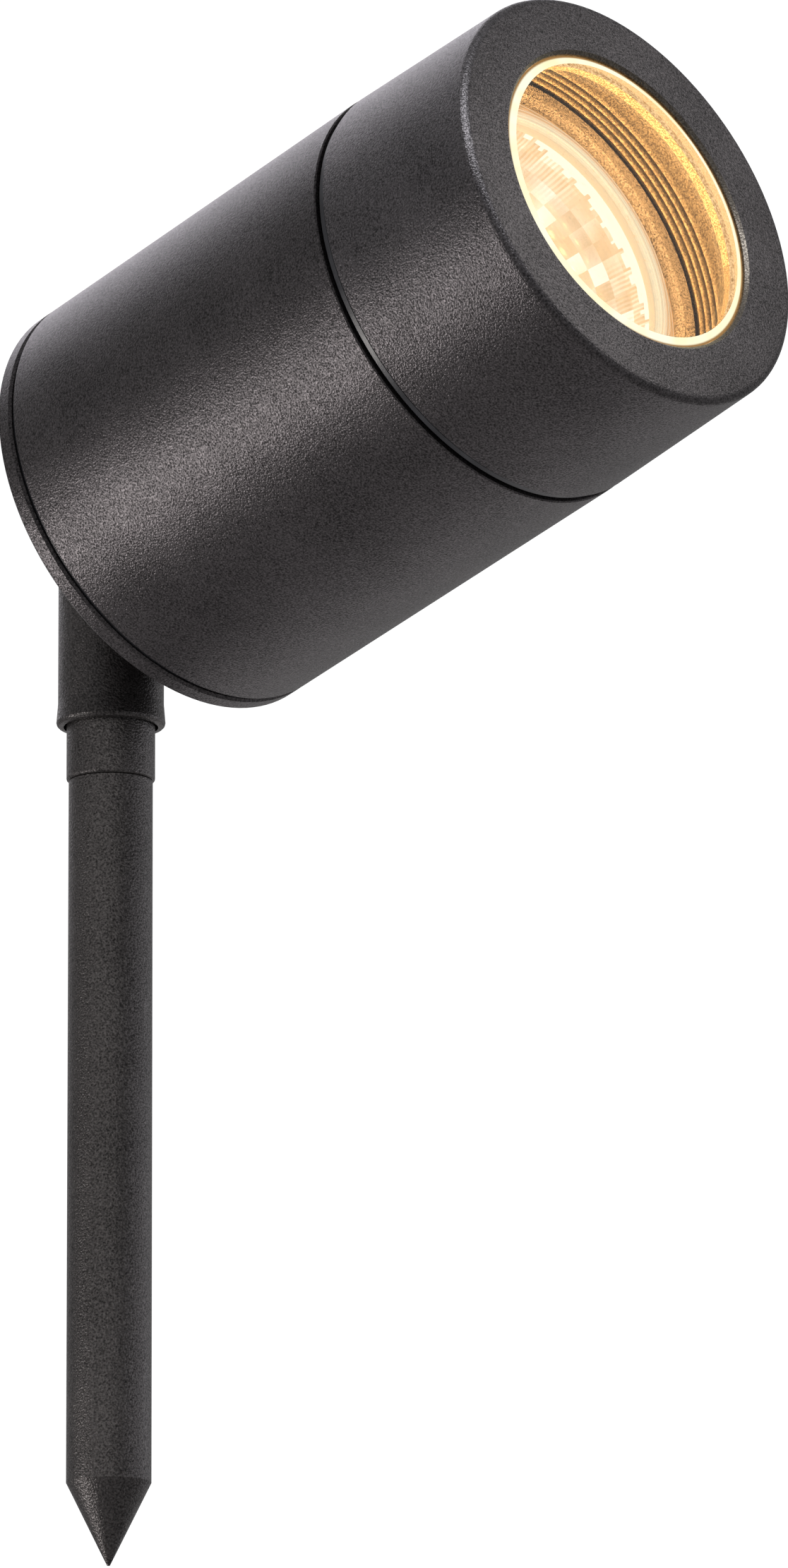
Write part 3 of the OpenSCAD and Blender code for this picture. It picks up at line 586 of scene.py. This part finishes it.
def glow_at(spot, bowl, levels):
    """Brightness of the painted reflection at a place on the inner face: a pale crescent of painted
    highlight under the rim, facets, and ribs.
    """
    down = (spot.z - bowl.inner_low) / (bowl.top - bowl.inner_low) * bowl.rows
    turn = (math.atan2(spot.y, spot.x) % (2 * math.pi)) / (2 * math.pi)
    across = 2 * (turn * bowl.columns % 1) - 1
    from_hot = abs((math.degrees(turn * 2 * math.pi) - HOT_SIDE + 180) % 360 - 180)
    # Painted highlight: a pale crescent under the rim on the hot side
    crescent = bowl.rows - 0.9 * math.cos(math.radians(1.5 * from_hot)) + 0.3 * across ** 2
    if down > crescent and from_hot < 60:
        return 1.0
    level, slope, fall = levels[min(bowl.rows - 1, max(0, int(down))), int(turn * bowl.columns)]
    facet = level + slope * across + fall * (2 * (down % 1) - 1)
    # Painted light and shade: bright and dark stripes along the ribs
    stripe = 0.2 if int(turn * bowl.around) % 2 else -0.2
    ribbed = max(0.0, min(1.0, (down - bowl.rows + 3) / 2, (from_hot - 14) / 10))
    return facet + stripe * ribbed


def faceted_reflector():
    """The lamp's bowl: a smooth outer skin, and an inner face of pillowed mirror facets in rows."""
    bowl = Bowl()
    rings = [bowl.plain_ring(radius, height) for radius, height in bowl.outside()]
    rings += [bowl.facet_ring(i) for i in range(bowl.steps, -1, -1)]
    rings.append(bowl.plain_ring(bowl.capsule_hole, bowl.inner_low))
    around = bowl.around
    faces = []
    for ring in range(len(rings)):
        after = (ring + 1) % len(rings)
        for j in range(around):
            k = (j + 1) % around
            faces.append((ring * around + j, ring * around + k, after * around + k, after * around + j))
    points = [point for ring in rings for point in ring]
    piece = mesh_piece("faceted_reflector", points, faces, "lamp")

    mirror = coated_mirror()
    rim_metal = CAD["lamp_support_ring"].data.materials[0]
    piece.data.materials.append(mirror)
    piece.data.materials.append(rim_metal)
    levels = facet_levels(bowl)
    values = []
    for face in piece.data.polygons:
        spot = HEAD.inverted() @ face.center
        if spot.z > bowl.top:
            face.material_index = 1
        values.append(glow_at(spot, bowl, levels) if bowl.on_inner_face(spot) else 0.0)
    glow = piece.data.attributes.new("facet_glow", "FLOAT", "FACE")
    glow.data.foreach_set("value", values)
    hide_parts("lamp_reflector")
    return piece


# ---------- light, camera and floor ----------

def aimed(obj, at, away, distance):
    """Puts a light at a distance from a point, in the direction `away`, facing the point."""
    direction = Vector(away).normalized()
    obj.location = at + direction * distance
    obj.rotation_euler = (-direction).to_track_quat("-Z", "Y").to_euler()


def softbox(name, away, distance, width, height, radiance, colour, at=None):
    """Area light in the direction `away` from the head's middle, or from the point `at`."""
    light = bpy.data.lights.new(name, "AREA")
    light.shape = "RECTANGLE"
    light.size = width
    light.size_y = height
    light.color = colour
    light.energy = radiance * math.pi * width * height
    box = bpy.data.objects.new(name, light)
    bpy.context.scene.collection.objects.link(box)
    box.visible_camera = False
    aimed(box, at or MIDDLE, away, distance)
    return box


def only_on(light, *nodes):
    """Lets a light fall on some CAD nodes only."""
    lit = bpy.data.collections.new(light.name + "_on")
    for node in nodes:
        lit.objects.link(CAD[node])
    light.light_linking.receiver_collection = lit


def face_side(angle):
    """Point in the middle of the bezel's face, at an angle in degrees round the head's axis."""
    radius = (head_radius("front_bezel") + head_radius("front_glass")) / 2
    turn = math.radians(angle)
    return HEAD @ Vector((radius * math.cos(turn), radius * math.sin(turn), head_span("front_bezel")[1]))


def studio_lights():
    """Soft lights round the part; some fall on the stake only, and two on the bezel only."""
    low_left = (-0.76, 0.49, -0.44)
    softbox("key_left_low", low_left, 0.85, 0.32, 0.32, 12.0, (1.0, 0.95, 0.92), MIDDLE - FORWARD * 0.08)
    softbox("back_high", (0.38, 0.75, 0.54), 1.3, 1.1, 0.9, 1.3, (1.0, 0.96, 1.04))
    softbox("low_right", (0.66, 0.45, -0.60), 1.1, 1.0, 0.8, 0.4, (1.0, 0.96, 0.97))
    right = softbox("stake_right", (0.77, -0.64, 0.06), 0.8, 1.4, 0.5, 0.9, (0.96, 0.95, 1.0), STAKE_MIDDLE)
    left = softbox("stake_left", (-0.85, -0.50, 0.20), 0.8, 1.4, 0.5, 0.85, (1.0, 0.97, 0.94), STAKE_MIDDLE)
    only_on(right, "stake_shank", "stake_neck", "knuckle_collar")
    only_on(left, "stake_shank", "stake_neck")
    above_left = (-0.45, -0.38, 0.81)
    above_right = (0.70, -0.45, 0.56)
    edge = softbox("edge_light", above_left, 0.5, 0.8, 0.14, 13, (0.95, 0.97, 1.0), face_side(167))
    face = softbox("face_light", above_right, 0.11, 0.06, 0.06, 1.7, (1.0, 0.96, 0.92), face_side(208))
    for light in (edge, face):
        only_on(light, "front_bezel")


def lamp_light():
    """The lamp's warm light on the surfaces in front of it; it moves with the head."""
    front = head_span("lamp_cover_glass")[1]
    beam = bpy.data.lights.new("lamp_beam", "POINT")
    beam.energy = 2.2
    beam.shadow_soft_size = 4 * MM
    inside_light(beam, front + 3.5 * MM, "front_bezel")
    # The front glass throws a little of the beam back onto the lamp's surround
    back = bpy.data.lights.new("beam_off_glass", "AREA")
    back.shape = "DISK"
    back.size = 40 * MM
    back.energy = 1.5
    inside_light(back, head_span("front_glass")[0] - 1 * MM, "body_housing")


def inside_light(light, height, *nodes):
    """Puts a light on the head's axis, where it shines only on the nodes named."""
    light.color = WARM
    bulb = bpy.data.objects.new(light.name, light)
    bpy.context.scene.collection.objects.link(bulb)
    bulb.visible_camera = False
    bulb.visible_transmission = False
    bulb.visible_glossy = False
    bulb.matrix_world = HEAD @ Matrix.Translation((0, 0, height))
    only_on(bulb, *nodes)
    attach(bulb, "head")


def white_room():
    """White background, with a dimmer soft light from all round."""
    world = bpy.data.worlds.new("studio")
    bpy.context.scene.world = world
    world.use_nodes = True
    tree = world.node_tree
    seen = tree.nodes["Background"]
    seen.inputs["Color"].default_value = (1, 1, 1, 1)
    seen.inputs["Strength"].default_value = 1.1
    lit = tree.nodes.new("ShaderNodeBackground")
    lit.inputs["Color"].default_value = (1, 0.98, 0.98, 1)
    lit.inputs["Strength"].default_value = 0.35
    path = tree.nodes.new("ShaderNodeLightPath")
    mix = tree.nodes.new("ShaderNodeMixShader")
    tree.links.new(path.outputs["Is Camera Ray"], mix.inputs["Fac"])
    tree.links.new(lit.outputs["Background"], mix.inputs[1])
    tree.links.new(seen.outputs["Background"], mix.inputs[2])
    tree.links.new(mix.outputs["Shader"], tree.nodes["World Output"].inputs["Surface"])


def floor():
    """Plain pale floor, well below the raised stake."""
    bpy.ops.mesh.primitive_circle_add(vertices=96, radius=4, fill_type="NGON", location=(0, 0, -0.9))
    disc = bpy.context.object
    disc.name = "floor"
    s = Surface("pale_floor")
    s.colour(s.blend(s.noise(0.4, 3), (0.80, 0.79, 0.78), (0.86, 0.85, 0.84)))
    s.roughness(s.fit(s.noise(0.1), 0.3, 0.7, 0.6, 0.75))
    disc.data.materials.append(s.material)


def camera():
    """A long lens from below and to the left of the light opening."""
    azimuth = math.radians(-45.72)
    elevation = math.radians(-13.0)
    roll = math.radians(-0.21)
    distance = 1.545
    aside = 44.04 * MM
    lower = 0.39 * MM
    back = Vector((
        math.sin(azimuth) * math.cos(elevation),
        -math.cos(azimuth) * math.cos(elevation),
        math.sin(elevation),
    ))
    level = Vector((math.cos(azimuth), math.sin(azimuth), 0))
    upright = back.cross(level)
    right = level * math.cos(roll) + upright * math.sin(roll)
    up = upright * math.cos(roll) - level * math.sin(roll)
    lens = bpy.data.cameras.new("camera")
    lens.sensor_width = 36
    lens.lens = 228
    view = bpy.data.objects.new("camera", lens)
    bpy.context.scene.collection.objects.link(view)
    # The stake's axis stands left of the picture's middle, to make room for the head
    place = back * distance + right * aside - up * lower
    view.matrix_world = Matrix.Translation(place) @ Matrix((right, up, back)).transposed().to_4x4()
    lens.clip_end = 20
    bpy.context.scene.camera = view


MIDDLE = PIVOT + FORWARD * sum(head_span("body_housing")) / 2
STAKE_MIDDLE = Vector((0, 0, -0.06))

camera()
white_room()
floor()
studio_lights()
lamp_light()
finish_cad_nodes()
finish_bezel_bore()
finish_front_glass()
faceted_reflector()
bpy.context.scene.view_settings.view_transform = "Standard"
